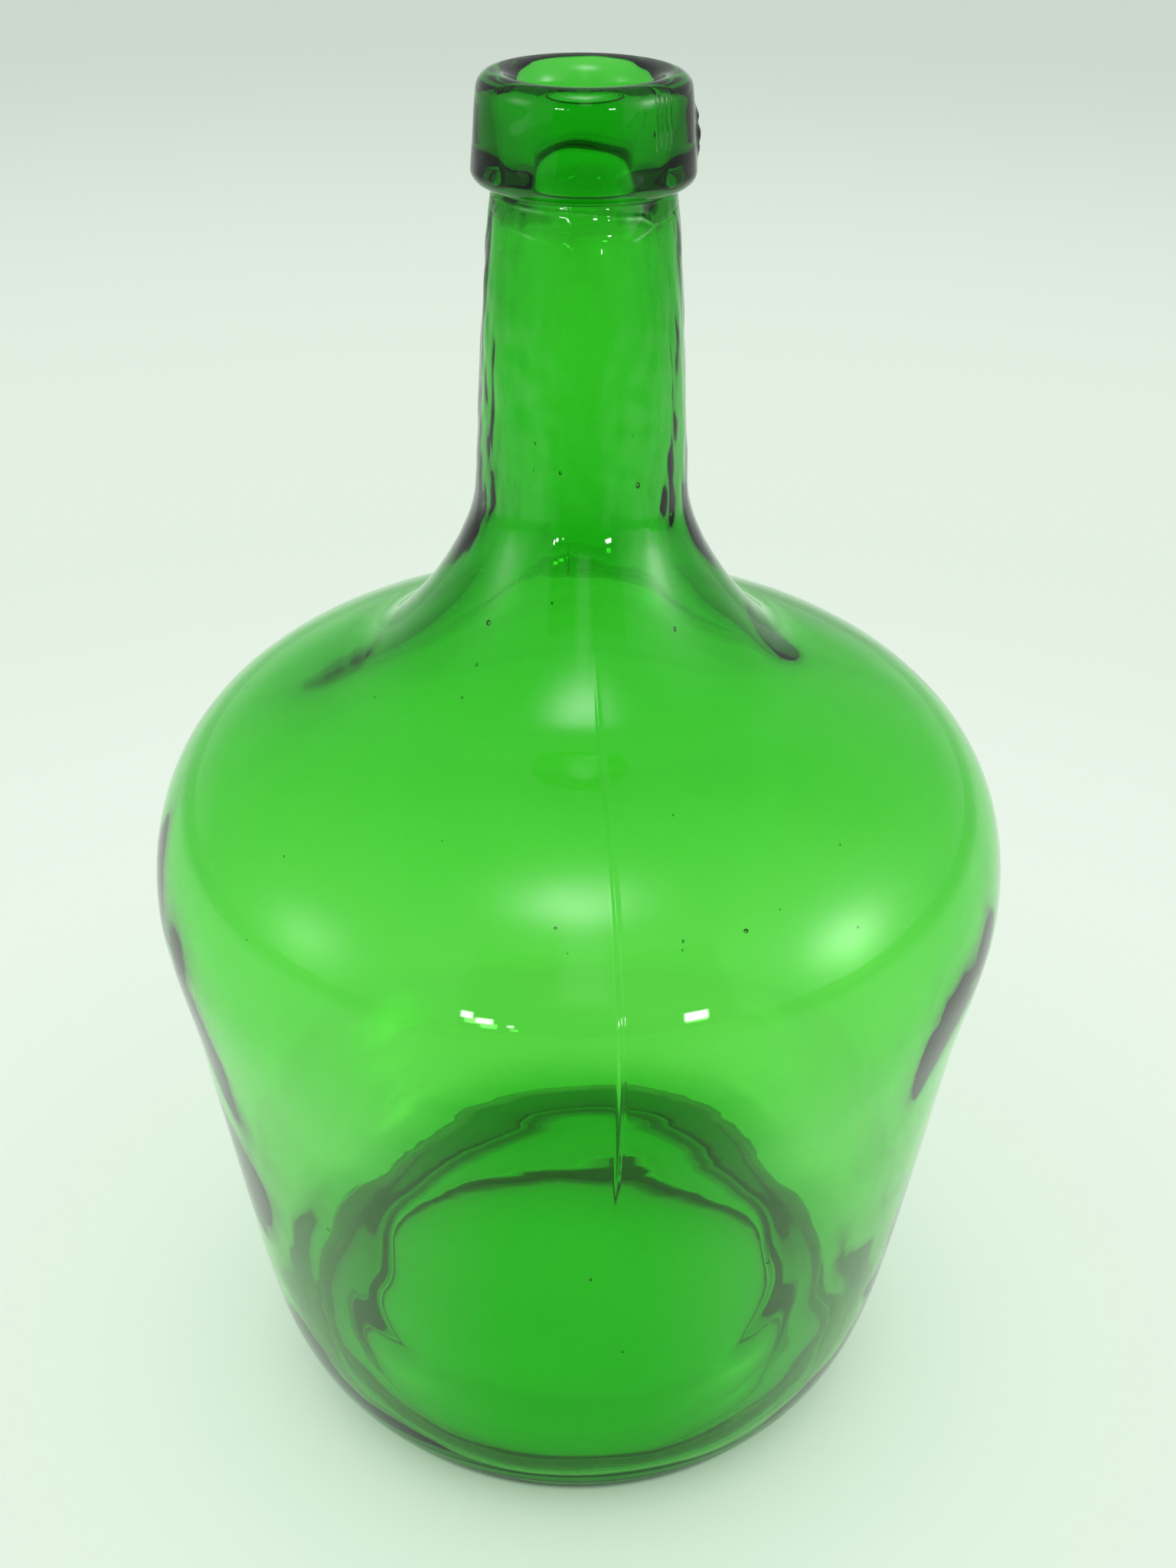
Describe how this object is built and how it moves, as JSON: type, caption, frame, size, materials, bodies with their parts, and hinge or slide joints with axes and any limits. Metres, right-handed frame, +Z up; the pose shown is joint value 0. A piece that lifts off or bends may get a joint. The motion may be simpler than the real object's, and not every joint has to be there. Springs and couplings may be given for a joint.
{
  "type": "demijohn",
  "caption": "Round-shouldered green glass demijohn with a tall neck, a tooled collar round the open mouth and a deep punt in its base.",
  "frame": {"origin": "centre of the resting ring, on the surface that the demijohn stands on", "axes": "+Z up along the axis of the vessel and its neck; -Y is the side that the picture shows"},
  "size_m": [0.2092, 0.2092, 0.34],
  "materials": {
    "vessel_glass": "clear emerald green mould-blown glass, fire-polished, with fine seeds and waves",
    "collar_glass": "thick emerald green glass, laid on hot and tooled smooth"
  },
  "bodies": {
    "root": {"glass_body": "vessel_glass", "lip_ring": "collar_glass"}
  },
  "joints": []
}
